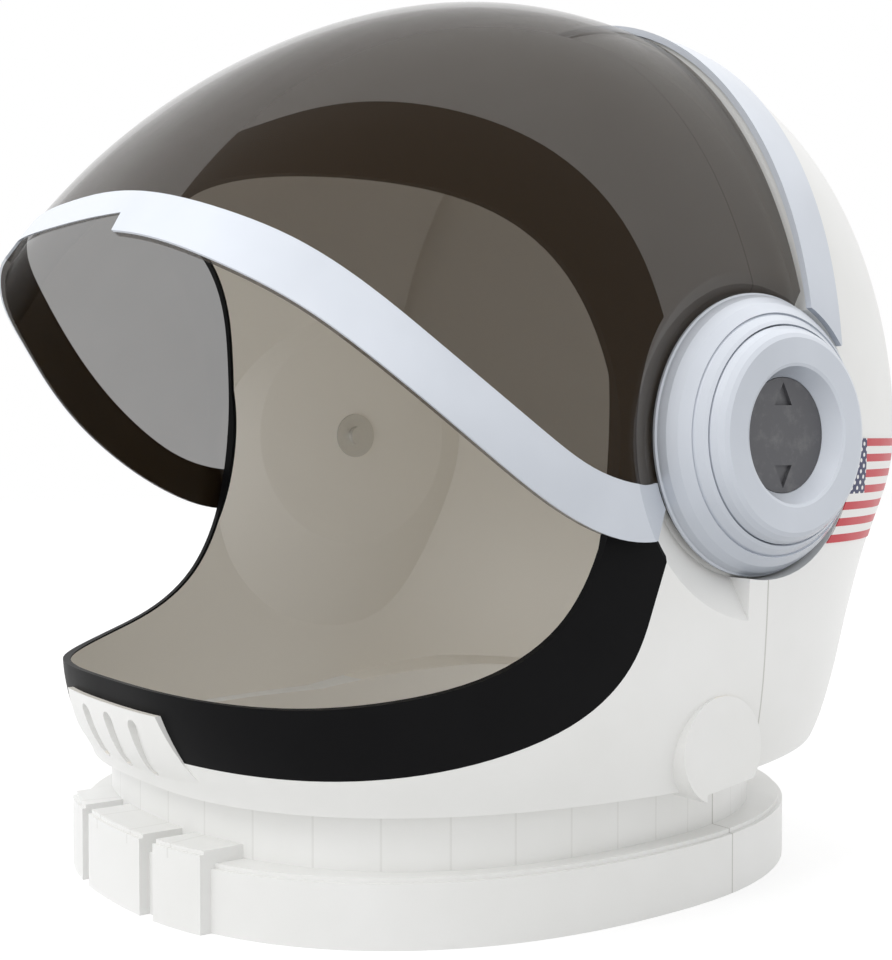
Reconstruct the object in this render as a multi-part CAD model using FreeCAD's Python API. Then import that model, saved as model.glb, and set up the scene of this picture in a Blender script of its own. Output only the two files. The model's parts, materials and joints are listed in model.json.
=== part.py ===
# Full-head space helmet with a tilting smoked visor, standing on its neck ring.
# Millimetres, +Z up, face towards -Y, the wearer's left towards +X, table at z = 0.
import FreeCAD
import Part
import math
import os

os.makedirs("parts", exist_ok=True)
Vector = FreeCAD.Vector

# Driving dimensions
ear_height = 149.0            # pivot axis above the table
ear_y = 24.6                  # pivot axis behind the middle of the whole part
shell_half_width = 127.0
shell_wall = 2.5
crown_reach = 153.1           # from the pivot axis to the front shell, 50 degrees above straight ahead
face_reach = 161.2            # from the pivot axis straight ahead
back_reach = 135.0            # from the pivot axis straight back
back_crown = 154.5            # height of the rear shell's oval above the pivot axis
visor_half_width = 129.5
visor_reach_back = 155.6      # from the pivot axis to the visor's rear edge
visor_flare = 39.9            # how much further its lip reaches
visor_wall = 1.8
trim_thickness = 0.9
glue_gap = 0.05               # between the visor and its trim
coat = 1.0                    # depth of the inlaid surround of the opening
decal_thickness = 0.35
step_y = 21.0                 # where the lower front shell meets the higher rear shell
visor_rear_edge = 18.2
crown_band_front = 19.8
crown_band_rear = 35.5
crown_band_rise = 2.2
pad_face = 117.5              # x of the flat pad that each visor hub turns against
pad_radius = 47.5
pocket_flat_radius = 45.2     # the pocket's flat floor, and its cone as far as the plane beside the cheek
pocket_cone_x = 129.0
pocket_cone_radius = 64.1
pad_split_radius = 44.0       # the part of both pads that belongs to the front shell
rear_pad_radius = 45.7        # behind the hub the pocket follows the ear cover closely
hub_inner = 118.2             # inner face of the visor's flat hub
hub_flat_radius = 45.4
hub_cone_radius = 61.4
cover_base = 120.2            # inner face of the ear cover
cover_radius = 45.0
ear_face = 138.0              # outermost face of the bezel
bush_radius = 7.9
bore_radius = 8.0
ring_half_width = 115.0
ring_half_length = 125.0
ring_centre_y = -38.6         # ahead of the pivot axis
ring_fullness = 2.29
ring_height = 20.9
neck_half_width = 107.0
neck_half_length = 110.0
neck_centre_y = -42.0
neck_wall = 3.5
neck_top = 50.0               # inside the shell
skirt_height = 38.0           # bottom edge of the shell above the neck
ring_pads = [(-19.6, 19.6), (27.0, 48.0), (-48.0, -27.0)]   # x ranges of the blocks on the ring's front
pad_rise = 3.3                # how far those blocks stand out of the ring
pad_top = 25.2
boss_radius = 17.0            # round boss low on each side, cut by the seam
boss_ahead = 18.0
boss_height = 51.0
boss_face = 124.6
screw_radius = 2.0
hairline = 0.15

# Heights above the table with half width, reach ahead and reach behind the pivot axis
stations = [
    (38.0, 117.0, 157.5, 72.0),
    (46.0, 119.6, 161.5, 78.0),
    (53.0, 121.5, 164.5, 83.0),
    (61.0, 123.0, 166.6, 87.0),
    (70.0, 124.2, 167.8, 91.0),
    (82.0, 125.2, 167.2, 96.0),
    (96.0, 126.0, 166.0, 103.0),
    (114.0, 126.6, 164.3, 114.5),
    (128.0, 126.9, 163.0, 125.5),
    (140.0, 127.0, 161.9, 133.0),
    (149.0, 127.0, 161.2, 135.0),
]


def side_point(forward, height, x=0.0):
    # forward is -Y seen from the pivot axis, height is above the table
    return Vector(x, ear_y - forward, height)


def oval_point(half_width, reach, fullness, angle):
    # point of a superellipse; fullness 2 is an ellipse, more is boxier
    c = math.cos(angle)
    s = math.sin(angle)
    size = (abs(c / half_width) ** fullness + abs(s / reach) ** fullness) ** (-1.0 / fullness)
    return size * c, size * s


def spline(points, closed=False):
    curve = Part.BSplineCurve()
    curve.interpolate(Points=points, PeriodicFlag=closed)
    return curve.toShape()


# Slices through the pivot axis, for the domes above ear height and for the visor
core = 10.0
core_radius = 31.0           # a cylinder fills the domes' middle, which their slices leave out
slice_steps = 12


def slice_wire(half_width, reach, fullness, turn):
    # turn is 0 straight ahead, 90 straight up, 180 straight back
    first = math.asin(core / half_width)
    lean = math.radians(turn)
    points = []
    for i in range(slice_steps + 1):
        angle = first + (math.pi - 2 * first) * i / slice_steps
        x, r = oval_point(half_width, reach, fullness, angle)
        points.append(side_point(r * math.cos(lean), ear_height + r * math.sin(lean), x))
    return Part.Wire([spline(points), Part.LineSegment(points[-1], points[0]).toShape()])


def dome(profile, first_turn, last_turn, steps, extra=0.0):
    wires = []
    for i in range(steps + 1):
        turn = first_turn + (last_turn - first_turn) * i / steps
        half_width, reach, fullness = profile(turn)
        wires.append(slice_wire(half_width + extra, reach + extra, fullness, turn))
    return Part.makeLoft(wires, True, False)


def front_profile(turn):
    low = max(0.0, (50 - turn) / 50)
    high = min(1.0, max(0.0, (turn - 50) / 47))
    reach = crown_reach + (face_reach - crown_reach) * low ** 1.5 - 6.0 * high ** 2.2
    return shell_half_width, reach, 2.0 + 0.45 * low - 0.1 * high


def rear_profile(turn):
    lean = math.radians(turn)
    reach = 1.0 / math.hypot(math.cos(lean) / back_reach, math.sin(lean) / back_crown)
    rounder = max(0.0, (125 - turn) / 35)
    return shell_half_width, reach, 2.4 - 0.4 * rounder ** 2


def visor_profile(turn):
    flare = max(0.0, (97 - turn) / 79)
    boxier = max(0.0, (20 - max(turn, -5)) / 20)
    reach = visor_reach_back + visor_flare * flare ** 1.95
    return visor_half_width, reach, 2.0 + 0.7 * flare + 1.05 * boxier ** 1.7


# Level rings, for the shell below ear height, the neck and the ring
def level_wire(height, half_width, ahead, behind, fullness_ahead, fullness_behind, centre=0.0):
    steps = 24
    points = []
    for i in range(steps):
        angle = 2 * math.pi * i / steps
        if math.sin(angle) >= 0:
            x, f = oval_point(half_width, ahead, fullness_ahead, angle)
        else:
            x, f = oval_point(half_width, behind, fullness_behind, angle)
        points.append(side_point(f - centre, height, x))
    return Part.Wire([spline(points, True)])


def lower_shell(extra=0.0):
    wires = []
    for height, half_width, ahead, behind in stations:
        fullness = 2.65 - 0.2 * max(0.0, (height - 100) / 49)
        wires.append(level_wire(height, half_width + extra, ahead + extra, behind + extra, fullness, 2.4))
    return Part.makeLoft(wires, True, False)


def box(x0, x1, forward0, forward1, z0, z1):
    return Part.makeBox(x1 - x0, forward1 - forward0, z1 - z0, side_point(forward1, z0, x0))


def ear_cylinder(radius, x0, x1):
    return Part.makeCylinder(radius, x1 - x0, side_point(0, ear_height, x0), Vector(1, 0, 0))


def side_cylinder(radius, ahead, height, half_length):
    start = side_point(ahead, height, -half_length)
    return Part.makeCylinder(radius, 2 * half_length, start, Vector(1, 0, 0))


def turned(profile):
    # profile is a closed outline of (x, radius) about the pivot axis
    points = [side_point(0, ear_height + r, x) for x, r in profile]
    face = Part.Face(Part.makePolygon(points + points[:1]))
    return face.revolve(side_point(0, ear_height), Vector(1, 0, 0), 360)


def side_prism(outline, half_length=160.0):
    # outline is a list of edges drawn in the plane x = -half_length
    face = Part.Face(Part.Wire(outline))
    return face.extrude(Vector(2 * half_length, 0, 0))


def side_outline(curve_points, straight_points, x=-160.0):
    # a smooth curve through the first points, closed by straight runs through the others
    curve = [side_point(f, z, x) for f, z in curve_points]
    corners = [curve[-1]] + [side_point(f, z, x) for f, z in straight_points] + [curve[0]]
    runs = [Part.LineSegment(a, b).toShape() for a, b in zip(corners, corners[1:])]
    return [spline(curve)] + runs


def dish(face_x, flat_radius, cone_x, cone_radius):
    # everything between the two ears, pressed in to face_x near the pivot axis
    far = 300.0
    return turned([
        (-face_x, 0.0), (-face_x, flat_radius), (-cone_x, cone_radius), (-cone_x, far),
        (cone_x, far), (cone_x, cone_radius), (face_x, flat_radius), (face_x, 0.0)])


# The whole white shell as one closed body, before it is hollowed and split
def shell_body(extra, step):
    # the domes stand a hair inside the top of the lower part, so that the solids meet on a clean edge
    front = dome(front_profile, 0, 144, 7, extra - hairline).common(box(-160, 160, -step, 260, ear_height, 330))
    rear = dome(rear_profile, 72, 180, 6, extra - hairline).common(box(-160, 160, -260, -step, ear_height, 330))
    core_cylinder = ear_cylinder(core_radius, -118.0, 118.0)
    return lower_shell(extra).fuse([front, rear, core_cylinder])


def outside_body(extra=0.0):
    # the pocket for the visor's hub is wide ahead of the seam and close round the ear cover behind it
    bosses = side_cylinder(boss_radius, boss_ahead, boss_height, boss_face + extra)
    close_pocket = dish(pad_face, rear_pad_radius, 140.0, rear_pad_radius)
    wide_pocket = dish(pad_face, pocket_flat_radius, pocket_cone_x, pocket_cone_radius)
    lower_quarter = box(-160, 160, -160, 8.5, -10, ear_height)
    behind_step = box(-160, 160, -260, -step_y, -10, 330)
    body = shell_body(extra, step_y).fuse(bosses).cut(skirt_wedge(0.0))
    return body.common(close_pocket).common(wide_pocket.fuse([lower_quarter, behind_step]))


def inside_body():
    # the hollow: its wall thickens gently towards the pivots
    thick_wall = dish(pad_face - shell_wall, pad_radius, shell_half_width - shell_wall, 2.2 * pad_radius)
    hollow = shell_body(-shell_wall, step_y + shell_wall).common(thick_wall)
    return hollow.common(box(-160, 160, -260, 260, skirt_height + shell_wall, 330)).cut(skirt_wedge(shell_wall))


def skirt_wedge(lift):
    # what is cut away so that the shell's lower edge rises towards the nape
    outline = [(25.0, 38.0), (-40.0, 46.5), (-160.0, 48.0), (-160.0, 20.0), (25.0, 20.0)]
    points = [side_point(f, z + lift, -160.0) for f, z in outline]
    return Part.Face(Part.makePolygon(points + points[:1])).extrude(Vector(320, 0, 0))


# Flat outlines on the ring's oval, pushed up to a height
def ring_block(extra, z0, z1):
    wire = level_wire(z0, ring_half_width + extra, ring_half_length + extra, ring_half_length + extra,
                      ring_fullness, ring_fullness, ring_centre_y)
    return Part.Face(wire).extrude(Vector(0, 0, z1 - z0))


def neck_block(extra, z0, z1):
    wire = level_wire(z0, neck_half_width + extra, neck_half_length + extra, neck_half_length + extra,
                      2.4, 2.4, neck_centre_y)
    return Part.Face(wire).extrude(Vector(0, 0, z1 - z0))


def neck_and_ring():
    lip = 1.4
    foot = ring_block(0.0, 0.0, ring_height - lip).fuse(ring_block(-lip, ring_height - lip, ring_height))
    channel = ring_block(-neck_wall, -1.0, ring_height - lip - neck_wall)
    foot = foot.cut(channel.cut(neck_block(0.0, -1.0, ring_height)))
    blocks = []
    for x0, x1 in ring_pads:
        block = ring_block(pad_rise, 0.0, pad_top - 1.2).fuse(ring_block(pad_rise - 1.2, pad_top - 1.2, pad_top))
        blocks.append(block.common(box(x0, x1, 120.0, 200.0, 0.0, pad_top)))
    return neck_block(0.0, 0.0, neck_top).fuse([foot] + blocks).cut(neck_block(-neck_wall, -1.0, 60.0))


# Face opening and the black surround, both as outlines in the side view: (reach ahead, height)
rim_curve = [
    (133.0, 234.0), (114.5, 228.3), (96.5, 223.0), (81.0, 214.6), (69.2, 200.4), (62.3, 180.5), (59.4, 160.0),
    (60.6, 137.0), (66.0, 114.5), (79.0, 93.0), (97.0, 80.8), (123.0, 73.4), (150.0, 70.4), (171.0, 72.0)]
band_curve = [
    (116.0, 251.6), (101.5, 255.6), (82.0, 251.3), (60.8, 237.8), (47.0, 217.0), (40.5, 191.0), (38.0, 155.0),
    (40.5, 120.0), (47.1, 99.8), (53.5, 83.0), (65.5, 69.6), (89.8, 57.8), (121.0, 50.9), (146.0, 49.4),
    (162.0, 50.4)]
hub_surround_radius = 53.5
vent_top = 64.2
vent_bottom = 42.0
vent_half_top = 33.5
vent_half_bottom = 43.0
vent_tilt = 4.7               # degrees that the panel leans out of the chin towards its top
slot_spacing = 18.0
slot_half_width = 3.2
slot_top = 61.0
slot_bottom = 42.5


def vent_prism():
    points = [(-vent_half_bottom, vent_bottom), (-vent_half_top, vent_top), (vent_half_top, vent_top),
              (vent_half_bottom, vent_bottom)]
    corners = [side_point(220.0, z, x) for x, z in points]
    return Part.Face(Part.makePolygon(corners + corners[:1])).extrude(Vector(0, 90, 0))


def vent_slots():
    slots = []
    for x in (-slot_spacing, 0.0, slot_spacing):
        middle = box(x - slot_half_width, x + slot_half_width, 130.0, 220.0,
                     slot_bottom + slot_half_width, slot_top - slot_half_width)
        ends = [Part.makeCylinder(slot_half_width, 90.0, side_point(130.0, z, x), Vector(0, -1, 0))
                for z in (slot_bottom + slot_half_width, slot_top - slot_half_width)]
        slots.append(middle.fuse(ends).removeSplitter())
    return Part.makeCompound(slots)


def seam_region():
    # everything ahead of the joint between the two half shells
    outline = [(300.0, -10.0), (28.6, -10.0), (11.4, 105.0), (11.4, ear_height), (-step_y, ear_height),
               (-step_y, 330.0), (300.0, 330.0)]
    points = [side_point(f, z, -160.0) for f, z in outline]
    region = Part.Face(Part.makePolygon(points + points[:1])).extrude(Vector(320, 0, 0))
    pads = [ear_cylinder(pad_split_radius, -160.0, -95.0), ear_cylinder(pad_split_radius, 95.0, 160.0)]
    return region.fuse(pads)


def both_sides(shape):
    return [shape, shape.mirror(Vector(0, 0, 0), Vector(1, 0, 0))]


# Screws under the crown that hold the half shells together
shell_screw_x = 62.0
shell_screw_height = 265.0
lug_radius = 5.0
lug_length = 11.0


def lug():
    front_end = side_point(-step_y + lug_length, shell_screw_height, shell_screw_x)
    return Part.makeCylinder(lug_radius, 2 * lug_length, front_end, Vector(0, 1, 0))


def shell_screw():
    head = side_point(-step_y - lug_length - 2.4, shell_screw_height, shell_screw_x)
    shank = Part.makeCylinder(screw_radius, 18.4, head, Vector(0, -1, 0))
    return shank.fuse(Part.makeCylinder(3.6, 2.4, head, Vector(0, -1, 0))).removeSplitter()


def opening_outline(margin):
    # the rim of the face opening, grown by a margin away from a point far ahead of it
    centre_ahead = 250.0
    centre_height = 150.0
    grow = 1.0 + margin / 150.0
    points = [(centre_ahead + (f - centre_ahead) * grow, centre_height + (z - centre_height) * grow)
              for f, z in rim_curve]
    return side_outline(points, [(300.0, points[-1][1]), (300.0, points[0][1] + 20.0)])


print("half shells")
outer_body = outside_body()
coat_body = outside_body(-coat)
inner_body = inside_body()
hollow = inner_body.fuse(neck_block(-neck_wall, -1.0, neck_top))

tilted = lower_shell()
tilted.rotate(side_point(160.0, vent_bottom), Vector(1, 0, 0), vent_tilt)
shell = outer_body.fuse([neck_and_ring(), tilted.common(vent_prism())]).cut(hollow)
shell = shell.cut(vent_slots().cut(coat_body))

opening = side_prism(opening_outline(0.0))
painted_opening = side_prism(opening_outline(coat))
surround = side_prism(side_outline(band_curve, [(300.0, 50.4), (300.0, 385.0)]))
surround = surround.cut([ear_cylinder(hub_surround_radius, -160.0, 160.0), vent_prism()])
face_coat = outer_body.common(surround.cut(opening)).cut(coat_body)
rim_coat = outer_body.common(painted_opening.cut(opening)).cut(inner_body)
opening_band = face_coat.fuse(rim_coat)
shell = shell.cut(painted_opening).cut(face_coat)

lugs = both_sides(lug())
screws = both_sides(shell_screw())
shell = shell.fuse(lugs).cut(screws + [ear_cylinder(bush_radius, -160.0, 160.0)])

ahead_of_seam = seam_region()
front_shell = shell.common(ahead_of_seam)
rear_shell = shell.cut(ahead_of_seam)
nodes = {"front_shell": front_shell, "rear_shell": rear_shell, "opening_band": opening_band}
nodes["shell_screws"] = Part.makeCompound(screws)

print("crown band and flag")
raised = dome(rear_profile, 60, 140, 6, crown_band_rise).cut(dome(rear_profile, 54, 146, 7))
strip = box(-160, 160, -crown_band_rear, -crown_band_front, ear_height + 10, 330)
nodes["crown_band"] = raised.common(strip).cut(ear_cylinder(cover_radius + 0.6, -160, 160))

flag_front = 29.0
flag_rear = 84.0
flag_low = 113.6
flag_high = 148.0
flag_box = box(60, 160, -flag_rear, -flag_front, flag_low, flag_high)
flag_film = lower_shell(decal_thickness).common(flag_box).cut(lower_shell())
nodes["flag_decal"] = flag_film.cut(ear_cylinder(rear_pad_radius + 0.3, -160, 160))

print("visor")
trim_low_curve = [
    (188.0, 210.6), (180.0, 204.6), (172.0, 197.3), (156.4, 183.8), (140.6, 168.3), (121.3, 150.6),
    (109.6, 141.4), (96.3, 132.3), (82.0, 124.5), (67.0, 119.1), (51.0, 117.9)]
trim_high_curve = [
    (179.0, 223.6), (173.0, 218.3), (165.0, 212.0), (154.8, 204.4), (139.7, 190.8), (124.8, 176.1),
    (104.5, 158.1), (92.3, 148.8), (78.3, 140.3), (65.1, 135.8), (45.0, 134.6)]
hub_radius = 43.5
notch_height = 213.5
notch_half_top = 41.2
notch_half_bottom = 46.5


def visor_skin(extra, face_x):
    skin = dome(visor_profile, -46, 122, 11, extra).fuse(ear_cylinder(14.0, -125.0, 125.0))
    return skin.common(dish(face_x, hub_flat_radius, face_x + 14.0, hub_flat_radius + 23.5))


def notch():
    points = [(-notch_half_bottom, 195.0), (-notch_half_top, notch_height), (notch_half_top, notch_height),
              (notch_half_bottom, 195.0)]
    corners = [side_point(230.0, z, x) for x, z in points]
    return Part.Face(Part.makePolygon(corners + corners[:1])).extrude(Vector(0, 90, 0))


visor_outer = visor_skin(0.0, hub_inner + visor_wall)
visor_inner = visor_skin(-visor_wall, hub_inner)
above_trim = side_prism(side_outline(trim_low_curve, [
    (37.0, 129.0), (-visor_rear_edge, 129.0), (-visor_rear_edge, 330.0), (230.0, 330.0), (230.0, 210.6)]))
hub_discs = both_sides(ear_cylinder(hub_radius, hub_inner, hub_inner + visor_wall))
visor = visor_outer.common(above_trim).cut(visor_inner).fuse(hub_discs)
visor = visor.cut([notch(), ear_cylinder(bore_radius, -160.0, 160.0)])
nodes["visor"] = visor

trim_skin = visor_skin(trim_thickness, hub_inner + visor_wall + trim_thickness)
trim_strip = above_trim.common(side_prism(side_outline(trim_high_curve, [
    (30.0, 134.6), (30.0, 100.0), (230.0, 100.0), (230.0, 223.6)])))
trim_strip = trim_strip.cut([notch(), ear_cylinder(cover_radius + 0.8, -160.0, 160.0)])
nodes["visor_trim"] = trim_skin.common(trim_strip).cut(visor_skin(glue_gap, hub_inner + visor_wall + glue_gap))

print("ear pieces")
cover_profile = [
    (cover_base, 42.6), (cover_base, 44.6), (120.6, 45.0), (121.4, 45.0), (121.8, 44.4), (122.6, 44.2),
    (124.6, 43.4), (127.4, 41.4), (129.4, 39.2), (130.2, 38.3), (129.6, 37.9), (130.6, 37.4), (132.6, 35.7),
    (133.4, 34.6), (132.6, 34.2), (129.0, 34.2), (129.0, 19.6), (126.6, 19.6), (126.6, screw_radius),
    (120.8, screw_radius), (120.8, 7.0), (124.4, 8.2), (124.4, 31.0), (126.0, 36.0), (122.6, 41.4)]
bezel_profile = [
    (129.1, 34.0), (133.6, 34.0), (135.6, 33.0), (137.2, 31.6), (ear_face, 30.2), (ear_face, 22.4),
    (137.6, 21.4), (132.0, 18.2), (129.1, 18.2)]
cap_thickness = 5.3
cap_face = 132.0
cap_radius = 18.0
arrow_low = 9.4
arrow_high = 16.6
arrow_half_width = 3.9
arrow_depth = 1.2


def arrow(up):
    heights = [(-arrow_half_width, arrow_low), (arrow_half_width, arrow_low), (0.0, arrow_high)]
    corners = [side_point(f, ear_height + up * h, cap_face - arrow_depth) for f, h in heights]
    return Part.Face(Part.makePolygon(corners + corners[:1])).extrude(Vector(2 * arrow_depth, 0, 0))


def pivot_cap():
    disc = ear_cylinder(cap_radius, cap_face - cap_thickness, cap_face)
    return disc.cut([arrow(1), arrow(-1)])


def ring_about_pivot(inner, outer, x0, x1):
    return ear_cylinder(outer, x0, x1).cut(ear_cylinder(inner, x0 - 1, x1 + 1))


pad_back = pad_face - shell_wall
ear_pieces = {
    "ear_cover": turned(cover_profile),
    "ear_bezel": turned(bezel_profile),
    "pivot_cap": pivot_cap(),
    "pivot_bush": ring_about_pivot(screw_radius, bush_radius, pad_back, 120.7),
    "friction_washer": ring_about_pivot(bore_radius, 30.0, pad_face, hub_inner - 0.1),
}
for name, left in ear_pieces.items():
    nodes[name + "_left"], nodes[name + "_right"] = both_sides(left)
pivot_washer = ring_about_pivot(screw_radius, 9.5, pad_back - 0.8, pad_back)
pivot_screw = ear_cylinder(screw_radius, pad_back - 0.8, 125.8).fuse(
    ear_cylinder(3.8, pad_back - 3.2, pad_back - 0.8)).removeSplitter()
nodes["pivot_washers"] = Part.makeCompound(both_sides(pivot_washer))
nodes["pivot_screws"] = Part.makeCompound(both_sides(pivot_screw))

for name, shape in nodes.items():
    shape.exportStep("parts/" + name + ".step")
    print(name, len(shape.Solids), "solids", shape.isValid(), round(shape.Volume))
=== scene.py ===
# Space helmet with a tilting smoked visor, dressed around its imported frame
import bpy
import json
import math
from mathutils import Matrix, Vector


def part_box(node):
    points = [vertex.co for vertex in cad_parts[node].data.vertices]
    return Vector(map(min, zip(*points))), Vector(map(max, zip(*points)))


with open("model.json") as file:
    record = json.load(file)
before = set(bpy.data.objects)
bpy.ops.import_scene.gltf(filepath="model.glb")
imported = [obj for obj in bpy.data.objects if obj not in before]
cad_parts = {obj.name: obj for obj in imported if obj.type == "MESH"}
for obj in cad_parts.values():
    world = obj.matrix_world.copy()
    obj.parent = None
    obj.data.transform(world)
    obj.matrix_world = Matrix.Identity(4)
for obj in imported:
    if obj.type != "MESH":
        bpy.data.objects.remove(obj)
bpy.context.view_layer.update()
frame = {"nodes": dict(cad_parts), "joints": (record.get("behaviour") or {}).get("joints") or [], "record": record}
nodes = frame["nodes"]
pivot = Vector(frame["joints"][0]["pos_m"])
print("frame loaded")


class Val:
    # one output of a shader node: an expression on these adds the Math nodes it needs
    def __init__(self, paint, socket):
        self.paint = paint
        self.socket = socket

    def sum(self, operation, *values):
        return self.paint.add("ShaderNodeMath", {"operation": operation}, dict(enumerate(values)))

    def __add__(self, other): return self.sum("ADD", self, other)
    def __radd__(self, other): return self.sum("ADD", other, self)
    def __sub__(self, other): return self.sum("SUBTRACT", self, other)
    def __rsub__(self, other): return self.sum("SUBTRACT", other, self)
    def __mul__(self, other): return self.sum("MULTIPLY", self, other)
    def __rmul__(self, other): return self.sum("MULTIPLY", other, self)
    def __truediv__(self, other): return self.sum("DIVIDE", self, other)
    def __mod__(self, other): return self.sum("FLOORED_MODULO", self, other)
    def __gt__(self, other): return self.sum("GREATER_THAN", self, other)
    def __lt__(self, other): return self.sum("LESS_THAN", self, other)
    def floor(self): return self.sum("FLOOR", self)
    def clamp(self): return self.paint.add("ShaderNodeClamp", {}, {0: self})


# distance: from the middle between the pivots. ringTop: height of the neck ring's upper face. Metres
hollowLook = {"distance": 0.075, "ringTop": 0.043}


class Paint:
    # the node tree of a material or of the world
    def __init__(self, owner):
        owner.use_nodes = True
        self.owner = owner
        self.tree = owner.node_tree
        self.tree.nodes.clear()

    def add(self, kind, settings=None, inputs=None, out=0):
        made = self.tree.nodes.new(kind)
        for key, value in (settings or {}).items():
            if key == "stops":
                for stop, (place, colour) in zip(made.color_ramp.elements, value):
                    stop.position = place
                    stop.color = colour
            else:
                setattr(made, key, value)
        for key, value in (inputs or {}).items():
            if isinstance(value, Val):
                self.tree.links.new(value.socket, made.inputs[key])
            else:
                made.inputs[key].default_value = value
        return Val(self, made.outputs[out]) if made.outputs else None

    def parts(self, source):
        # x, y and z of the place or of the way a face looks
        coordinates = self.add("ShaderNodeTexCoord", out=source)
        return [self.add("ShaderNodeSeparateXYZ", {}, {0: coordinates}, out) for out in "XYZ"]

    def inside(self):
        # 1 on the walls of the hollow, which look back at the middle of the helmet from a distance
        x, y, z = self.parts("Object")
        nx, ny, nz = self.parts("Normal")
        above = z > hollowLook["ringTop"]
        return (nx * x + ny * (y - pivot.y) + nz * (z - pivot.z) * above) < -hollowLook["distance"]

    def noise(self, scale, detail, roughness=0.5):
        coordinates = self.add("ShaderNodeTexCoord", out="Object")
        return self.add("ShaderNodeTexNoise", {}, {"Vector": coordinates, "Scale": scale, "Detail": detail,
                                                   "Roughness": roughness})

    def mix(self, share, first, second):
        return self.add("ShaderNodeMix", {"data_type": "RGBA"}, {0: share, 6: first, 7: second}, 2)

    def fade(self, value, low, high):
        # 0 where the value is below low, 1 where it is over high
        stops = [(low, (0, 0, 0, 1)), (high, (1, 1, 1, 1))]
        return self.add("ShaderNodeValToRGB", {"stops": stops}, {0: value})

    def bump(self, height, strength, distance):
        return self.add("ShaderNodeBump", {}, {"Height": height, "Strength": strength, "Distance": distance})

    def surface(self, shader):
        kind = "World" if isinstance(self.owner, bpy.types.World) else "Material"
        self.add("ShaderNodeOutput" + kind, {}, {"Surface": shader})
        return self.owner

    def finish(self, **inputs):
        # a socket's name is given with _ for each space
        named = {key.replace("_", " "): value for key, value in inputs.items()}
        return self.surface(self.add("ShaderNodeBsdfPrincipled", {}, named))


def newPaint(name):
    return Paint(bpy.data.materials.new(name))


# White plastic of the two shell halves. inside: warm beige of the hollow's walls, painted light standing for light
# tinted by the brown visor. Noises are scale, detail, roughness. Bumps are strength, distance
shellLook = {"white": (0.86, 0.86, 0.85, 1), "shade": (0.80, 0.80, 0.78, 1), "inside": (0.90, 0.865, 0.80, 1),
             "cloud": (9.0, 4.0, 0.6), "handled": (0.35, 0.7), "roughness": 0.36, "cloudRoughness": 0.12,
             "insideRoughness": 0.2, "grain": (1400.0, 2.0), "grainBump": (0.12, 0.0002)}
joinLook = {"halfWidth": 0.0003, "share": 0.8, "tone": (0.50, 0.49, 0.46, 1)}
# painted shade in the neck grooves: count round the neck, width as a share of each step, foot and top heights in
# metres, share of the dark tone
grooveShadeLook = {"count": 46, "width": 0.035, "foot": 0.021, "top": 0.038, "share": 0.2}


def joinLine(paint):
    # 1 along the line where the two halves of the shell meet
    x, y, z = paint.parts("Object")
    off = y - pivot.y
    return (off * off) < joinLook["halfWidth"] ** 2


def neckGrooveShade(paint):
    # 1 in the narrow upright grooves round the neck, which get painted shade
    x, y, z = paint.parts("Object")
    turn = x.sum("ARCTAN2", y - pivot.y, x) * (grooveShadeLook["count"] / (2 * math.pi))
    band = (z > grooveShadeLook["foot"]) * (z < grooveShadeLook["top"])
    return (turn % 1.0 < grooveShadeLook["width"]) * band


def shellPlastic():
    paint = newPaint("whitePlastic")
    inside = paint.inside()
    cloud = paint.noise(*shellLook["cloud"])
    handled = paint.fade(cloud, *shellLook["handled"])
    outer = paint.mix(handled, shellLook["white"], shellLook["shade"])
    # dark joint line where the halves meet, plus painted shade in the neck grooves
    jointAndGrooveShade = joinLine(paint) * joinLook["share"] + neckGrooveShade(paint) * grooveShadeLook["share"]
    outerJointAndGrooveShade = jointAndGrooveShade * (1.0 - inside)
    # the hollow's walls take the warm beige, painted light tinted by the visor; the join line and painted groove
    # shade darken the outside
    colour = paint.mix(outerJointAndGrooveShade.clamp(), paint.mix(inside, outer, shellLook["inside"]), joinLook["tone"])
    grain = paint.noise(*shellLook["grain"])
    roughness = shellLook["roughness"] + (cloud - 0.5) * shellLook["cloudRoughness"]
    roughness = roughness + inside * shellLook["insideRoughness"]
    return paint.finish(Base_Color=colour, Roughness=roughness,
                        Normal=paint.bump(grain, *shellLook["grainBump"]))


# Sprayed silver of the trim, crown band, ear covers and bezels, with painted light: bright on faces turned up and
# to the front, dull as painted shade on faces turned down and away, mixed with a random cloud of tone. Back: the
# side that looks into the helmet, dark brown, partly the smoked plastic's own tint and partly painted shade
silverLook = {"bright": (0.76, 0.80, 0.87, 1), "paintedShadeSilver": (0.36, 0.39, 0.44, 1), "back": (0.02, 0.016, 0.012, 1),
              "level": 0.5, "paintedLightUpward": 0.55, "forward": 0.25, "cloud": (26.0, 3.0), "cloudShare": 0.4,
              "flake": (900.0, 1.0), "flakeBump": (0.02, 0.0001), "flakeRoughness": 0.1, "roughness": 0.34,
              "metal": 0.1, "coat": 0.3}


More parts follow.
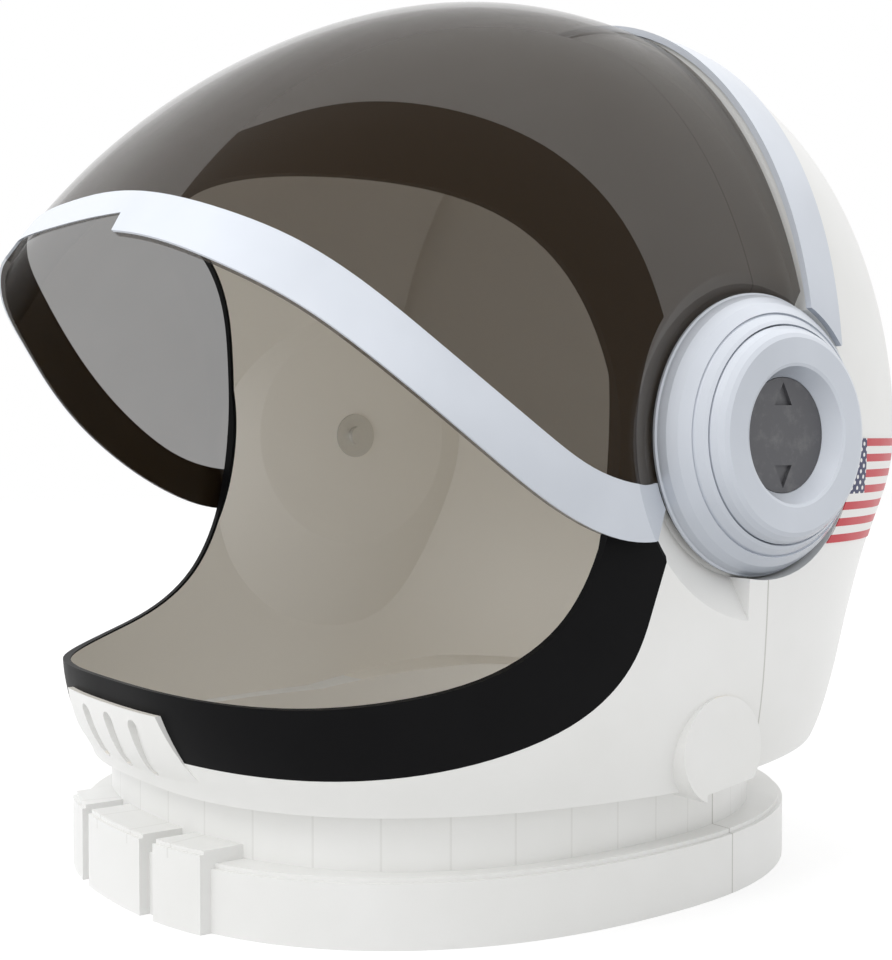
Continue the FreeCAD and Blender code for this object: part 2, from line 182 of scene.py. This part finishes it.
def silverPaint():
    paint = newPaint("silverPaint")
    flake = paint.noise(*silverLook["flake"])
    cloud = paint.noise(*silverLook["cloud"])
    nx, ny, nz = paint.parts("Normal")
    # painted light: the colour gets lighter where the face turns up or toward the front, and painted shade darkens
    # faces turned down or back
    paintedLightFacing = silverLook["level"] + nz * silverLook["paintedLightUpward"] - ny * silverLook["forward"]
    paintedLightAndToneShare = (paintedLightFacing + (cloud - 0.5) * silverLook["cloudShare"]).clamp()
    colour = paint.mix(paintedLightAndToneShare, silverLook["paintedShadeSilver"], silverLook["bright"])
    # faces that look into the helmet get the dark brown back: partly the smoked plastic's own tint, partly painted
    # shade
    colour = paint.mix(paint.inside(), colour, silverLook["back"])
    roughness = silverLook["roughness"] + (flake - 0.5) * silverLook["flakeRoughness"]
    return paint.finish(Base_Color=colour, Roughness=roughness, Metallic=silverLook["metal"],
                        Normal=paint.bump(flake, *silverLook["flakeBump"]), Coat_Weight=silverLook["coat"])


# Satin black surround of the face opening
blackLook = {"colour": (0.004, 0.004, 0.0045, 1), "rubbed": (0.007, 0.007, 0.0075, 1),
             "cloud": (30.0, 4.0, 0.6), "roughness": 0.4, "cloudRoughness": 0.14, "shine": 0.06,
             "grain": (500.0, 2.0), "grainBump": (0.02, 0.0001)}


def blackPaint():
    paint = newPaint("blackPaint")
    cloud = paint.noise(*blackLook["cloud"])
    colour = paint.mix(cloud, blackLook["colour"], blackLook["rubbed"])
    grain = paint.noise(*blackLook["grain"])
    return paint.finish(Base_Color=colour, Specular_IOR_Level=blackLook["shine"],
                        Roughness=blackLook["roughness"] + cloud * blackLook["cloudRoughness"],
                        Normal=paint.bump(grain, *blackLook["grainBump"]))


# Smoked see-through plastic of the visor, with a faint smear
smokeLook = {"tint": (0.036, 0.023, 0.012, 1), "cover": 0.46, "hazeCover": 0.03, "roughness": 0.05,
             "hazeRoughness": 0.05, "shine": 0.12, "smear": (7.0, 5.0, 0.6), "haze": (0.45, 0.8)}


def smokedPlastic():
    paint = newPaint("smokedPlastic")
    haze = paint.fade(paint.noise(*smokeLook["smear"]), *smokeLook["haze"])
    return paint.finish(Base_Color=smokeLook["tint"], Specular_IOR_Level=smokeLook["shine"],
                        Roughness=smokeLook["roughness"] + haze * smokeLook["hazeRoughness"],
                        Alpha=smokeLook["cover"] + haze * smokeLook["hazeCover"])


# Dark grey plastic of the centre caps, with scuffs
capLook = {"grey": (0.090, 0.090, 0.098, 1), "scuffed": (0.135, 0.135, 0.14, 1), "roughness": 0.48,
           "scuffShine": 0.1, "scuff": (160.0, 6.0, 0.7), "scuffEdge": (0.5, 0.72),
           "scuffBump": (0.15, 0.0003)}


def greyPlastic():
    paint = newPaint("greyPlastic")
    scuff = paint.noise(*capLook["scuff"])
    scuffed = paint.fade(scuff, *capLook["scuffEdge"])
    return paint.finish(Base_Color=paint.mix(scuffed, capLook["grey"], capLook["scuffed"]),
                        Roughness=capLook["roughness"] - scuffed * capLook["scuffShine"],
                        Normal=paint.bump(scuff, *capLook["scuffBump"]))


# Screws and washers
screwLook = {"steel": (0.72, 0.71, 0.68, 1), "metal": 1.0, "roughness": 0.42, "brushed": (900.0, 3.0),
             "brushedRoughness": 0.15}
washerLook = {"rubber": (0.62, 0.60, 0.55, 1), "roughness": 0.6, "grain": (700.0, 3.0), "grainRoughness": 0.2}


def screwSteel():
    paint = newPaint("screwSteel")
    brushed = paint.noise(*screwLook["brushed"])
    return paint.finish(Base_Color=screwLook["steel"], Metallic=screwLook["metal"],
                        Roughness=screwLook["roughness"] + brushed * screwLook["brushedRoughness"])


def washerRubber():
    paint = newPaint("washerRubber")
    grain = paint.noise(*washerLook["grain"])
    return paint.finish(Base_Color=washerLook["rubber"],
                        Roughness=washerLook["roughness"] + grain * washerLook["grainRoughness"])


# Printed flag. dot: a dot's radius squared, in squares of the grid
flagLook = {"red": (0.55, 0.02, 0.035, 1), "white": (0.83, 0.82, 0.80, 1), "blue": (0.012, 0.016, 0.085, 1),
            "stripes": 13, "fieldStripes": 7, "fieldShare": 0.45, "columns": 6, "rows": 5, "dot": 0.035,
            "roughness": 0.3, "worn": (90.0, 4.0), "wornRoughness": 0.15}


def dotIn(column, row):
    # 1 inside the round spot in the middle of each square of the grid
    dx = column % 1.0 - 0.5
    dy = row % 1.0 - 0.5
    return (dx * dx + dy * dy) < flagLook["dot"]


def flagPrint():
    paint = newPaint("flagPrint")
    x, y, z = paint.parts("Object")
    low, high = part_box("flag_decal")
    across = (y - low.y) / (high.y - low.y)
    up = (z - low.z) / (high.z - low.z)
    stripe = (up * flagLook["stripes"]).floor() % 2.0
    stripes = paint.mix(stripe, flagLook["red"], flagLook["white"])
    fieldFoot = 1.0 - flagLook["fieldStripes"] / flagLook["stripes"]
    inField = (across < flagLook["fieldShare"]) * (up > fieldFoot)
    column = across * (flagLook["columns"] / flagLook["fieldShare"])
    row = (up - fieldFoot) * (flagLook["rows"] / (1.0 - fieldFoot))
    dots = dotIn(column, row) + dotIn(column + 0.5, row + 0.5)
    field = paint.mix(dots, flagLook["blue"], flagLook["white"])
    worn = paint.noise(*flagLook["worn"])
    return paint.finish(Base_Color=paint.mix(inField, stripes, field),
                        Roughness=flagLook["roughness"] + worn * flagLook["wornRoughness"])


finishes = {"white_shell": shellPlastic(), "silver_paint": silverPaint(), "black_surround": blackPaint(),
            "smoke_visor": smokedPlastic(), "grey_cap": greyPlastic(), "screw_steel": screwSteel(),
            "washer_rubber": washerRubber(), "flag_print": flagPrint()}
for part in frame["record"]["subparts"]:
    mesh = nodes[part["node"]].data
    mesh.materials.clear()
    mesh.materials.append(finishes[part["material_slot"]])
print("materials done")


# Floor, background and light. Where the camera sees the floor, it glows and still takes the shadow
stageLook = {"halfFloor": 3.0, "floor": (0.80, 0.80, 0.80, 1), "glow": 0.62,
             "shadowShare": (0.44, 0.44, 0.44, 1), "white": (1, 1, 1, 1), "ambient": 0.83, "backdrop": 1.0}


def seenDirectly(paint):
    rays = [paint.add("ShaderNodeLightPath", out=out)
            for out in ("Is Camera Ray", "Is Glossy Ray", "Is Transmission Ray")]
    return (rays[0] + rays[1] + rays[2]).clamp()


def makeFloor():
    paint = newPaint("paleFloor")
    plain = paint.add("ShaderNodeBsdfDiffuse", {}, {"Color": stageLook["floor"]})
    shadow = paint.add("ShaderNodeBsdfDiffuse", {}, {"Color": stageLook["shadowShare"]})
    glow = paint.add("ShaderNodeEmission", {}, {"Strength": stageLook["glow"]})
    bright = paint.add("ShaderNodeAddShader", {}, {0: shadow, 1: glow})
    paint.surface(paint.add("ShaderNodeMixShader", {}, {0: seenDirectly(paint), 1: plain, 2: bright}))
    half = stageLook["halfFloor"]
    mesh = bpy.data.meshes.new("floor")
    corners = [(-half, -half, 0), (half, -half, 0), (half, half, 0), (-half, half, 0)]
    mesh.from_pydata(corners, [], [(0, 1, 2, 3)])
    mesh.materials.append(paint.owner)
    floor = bpy.data.objects.new("floor", mesh)
    bpy.context.scene.collection.objects.link(floor)


def makeWorld():
    world = bpy.data.worlds.new("paleRoom")
    bpy.context.scene.world = world
    paint = Paint(world)
    shaders = []
    for name in ("ambient", "backdrop"):
        inputs = {"Color": stageLook["white"], "Strength": stageLook[name]}
        shaders.append(paint.add("ShaderNodeBackground", {}, inputs))
    lit, seen = shaders
    paint.surface(paint.add("ShaderNodeMixShader", {}, {0: seenDirectly(paint), 1: lit, 2: seen}))


# turn and down are degrees from looking along +Y. A lamp's left, near and up are metres from lampAim
cameraLook = {"place": (0.4560, -0.3417, 0.1487), "turn": 53.92, "down": 1.64, "lens": 57.38, "sensor": 36.0}
lampAim = Vector((0, 0, 0.15))
lampLook = {"key": {"left": 1.0, "near": 0.8, "up": 1.5, "size": 1.2, "power": 11.0},
            "top": {"left": -0.5, "near": -0.6, "up": 1.7, "size": 1.2, "power": 9.0},
            "fill": {"left": 1.3, "near": 0.95, "up": 0.15, "size": 1.0, "power": 2.5}}


def makeCamera():
    turn = math.radians(cameraLook["turn"])
    down = math.radians(cameraLook["down"])
    ahead = Vector((-math.sin(turn) * math.cos(down), math.cos(turn) * math.cos(down), -math.sin(down)))
    data = bpy.data.cameras.new("camera")
    data.sensor_fit = "VERTICAL"
    data.sensor_height = cameraLook["sensor"]
    data.lens = cameraLook["lens"]
    camera = bpy.data.objects.new("camera", data)
    camera.location = cameraLook["place"]
    camera.rotation_euler = ahead.to_track_quat("-Z", "Y").to_euler()
    bpy.context.scene.collection.objects.link(camera)
    bpy.context.scene.camera = camera


def makeLamps():
    turn = math.radians(cameraLook["turn"])
    level = Vector((-math.sin(turn), math.cos(turn), 0))
    right = Vector((math.cos(turn), math.sin(turn), 0))
    for name, lamp in lampLook.items():
        data = bpy.data.lights.new(name, "AREA")
        data.size = lamp["size"]
        data.energy = lamp["power"]
        lampObject = bpy.data.objects.new(name, data)
        offset = Vector((0, 0, lamp["up"])) - right * lamp["left"] - level * lamp["near"]
        lampObject.location = lampAim + offset
        lampObject.rotation_euler = (-offset).to_track_quat("-Z", "Y").to_euler()
        lampObject.visible_glossy = False
        bpy.context.scene.collection.objects.link(lampObject)


makeFloor()
makeWorld()
makeCamera()
makeLamps()
bpy.context.scene.view_settings.view_transform = "Standard"
print("stage done")
